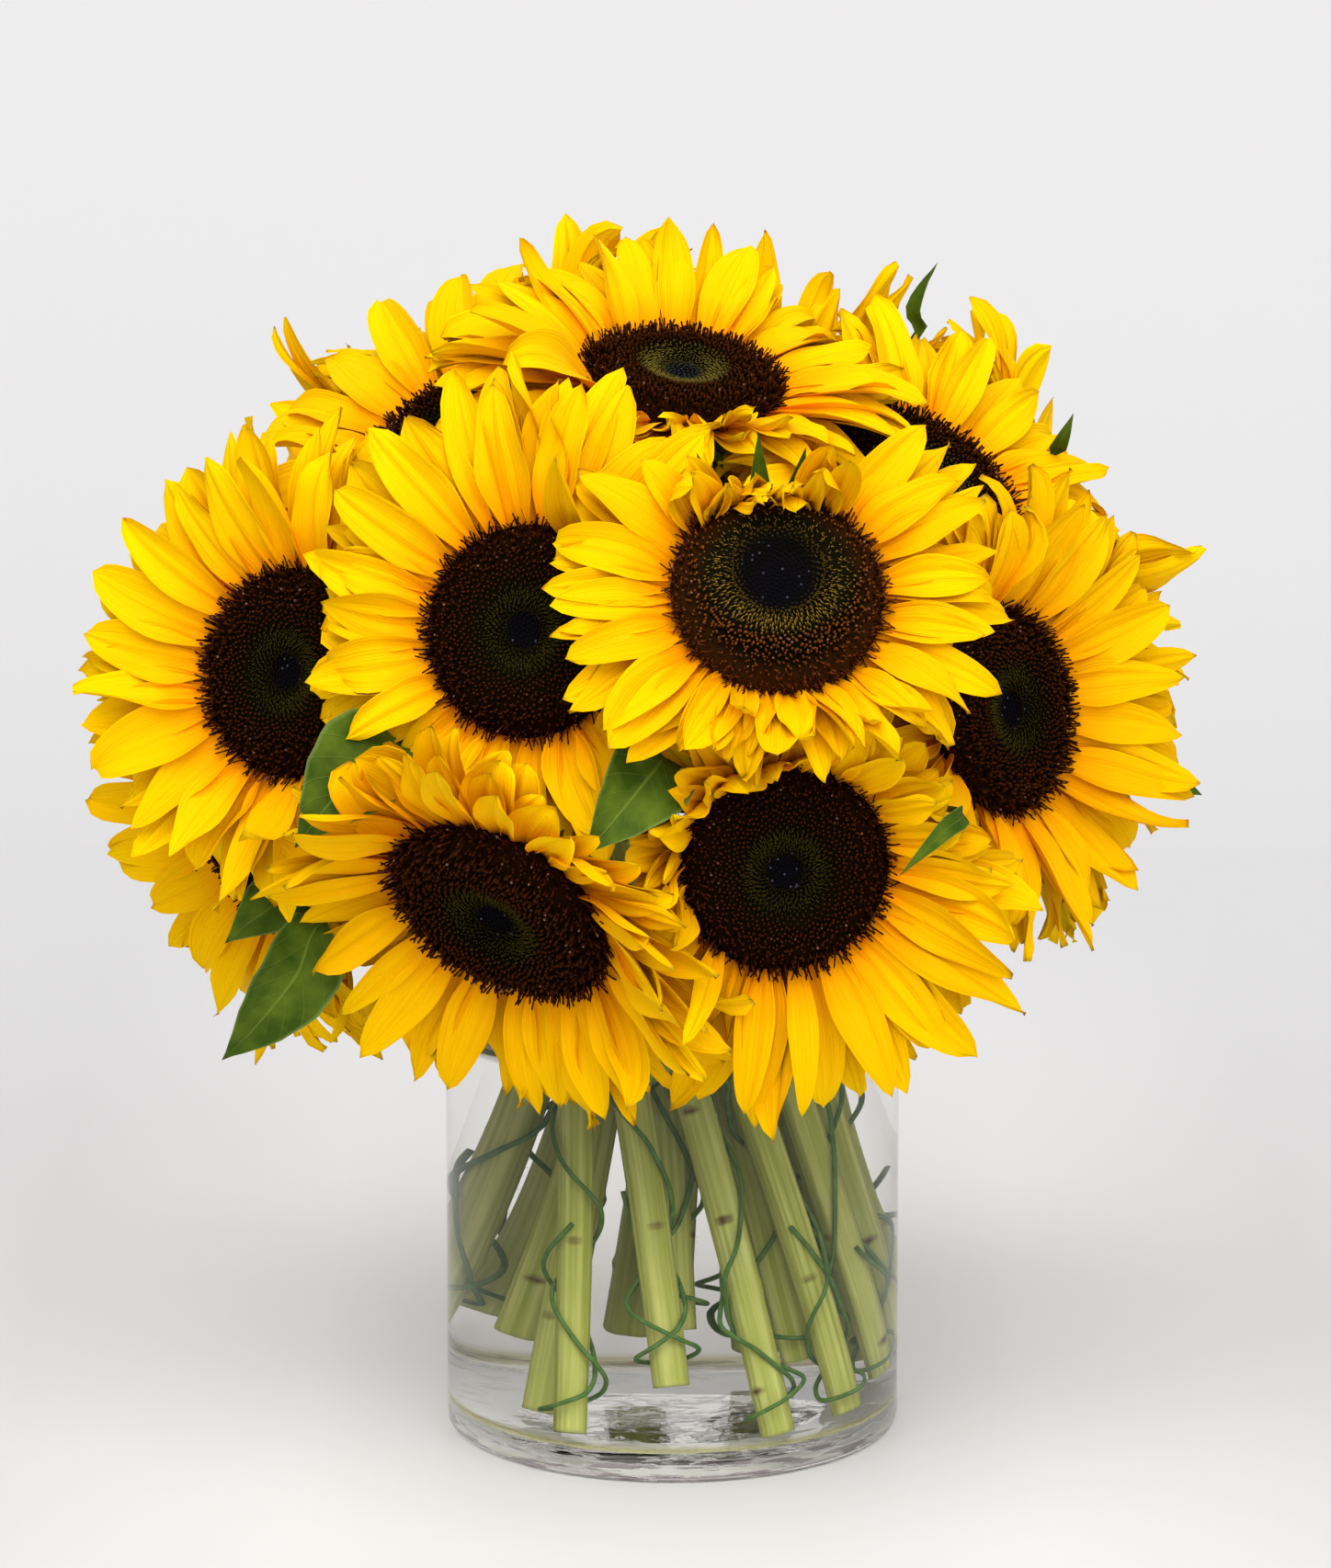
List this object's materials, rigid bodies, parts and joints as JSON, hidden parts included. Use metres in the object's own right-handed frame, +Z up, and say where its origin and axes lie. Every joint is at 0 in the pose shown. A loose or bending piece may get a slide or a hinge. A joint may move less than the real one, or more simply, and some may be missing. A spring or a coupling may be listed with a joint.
{
  "type": "sunflowers in a vase",
  "caption": "Domed bouquet of cut sunflowers with leaves, standing in water in a clear glass cylinder vase, stems crossing in a spiral and wound with thin green wire",
  "frame": {"origin": "middle of the flat underside of the vase", "axes": "+Z up along the vase; -Y is the front, the side with the two lowest open blooms; +X to the right seen from the front"},
  "size_m": [0.362, 0.3459, 0.4066],
  "materials": {
    "petals": "soft satin petal",
    "discs": "dark velvety florets",
    "stems": "fresh green plant tissue, slightly hairy",
    "glass": "clear polished",
    "water": "clear still water",
    "wire": "green lacquered wire"
  },
  "bodies": {
    "root": {"disc_back_left": "discs", "disc_back_low_left": "discs", "disc_back_low_right": "discs", "disc_back_middle": "discs", "disc_centre_left": "discs", "disc_centre_right": "discs", "disc_far_low_left": "discs", "disc_far_right": "discs", "disc_left": "discs", "disc_low_far_right": "discs", "disc_low_left": "discs", "disc_low_right": "discs", "disc_right": "discs", "disc_top": "discs", "disc_top_back_left": "discs", "disc_top_back_right": "discs", "disc_upper_left": "discs", "disc_upper_right": "discs", "petals_back_left": "petals", "petals_back_low_left": "petals", "petals_back_low_right": "petals", "petals_back_middle": "petals", "petals_centre_left": "petals", "petals_centre_right": "petals", "petals_far_low_left": "petals", "petals_far_right": "petals", "petals_left": "petals", "petals_low_far_right": "petals", "petals_low_left": "petals", "petals_low_right": "petals", "petals_right": "petals", "petals_top": "petals", "petals_top_back_left": "petals", "petals_top_back_right": "petals", "petals_upper_left": "petals", "petals_upper_right": "petals", "stem_back_left": "stems", "stem_back_low_left": "stems", "stem_back_low_right": "stems", "stem_back_middle": "stems", "stem_centre_left": "stems", "stem_centre_right": "stems", "stem_far_low_left": "stems", "stem_far_right": "stems", "stem_left": "stems", "stem_low_far_right": "stems", "stem_low_left": "stems", "stem_low_right": "stems", "stem_right": "stems", "stem_top": "stems", "stem_top_back_left": "stems", "stem_top_back_right": "stems", "stem_upper_left": "stems", "stem_upper_right": "stems", "vase": "glass", "water": "water", "wire_centre_left": "wire", "wire_far_low_left": "wire", "wire_low_left": "wire", "wire_low_right": "wire"}
  },
  "joints": []
}
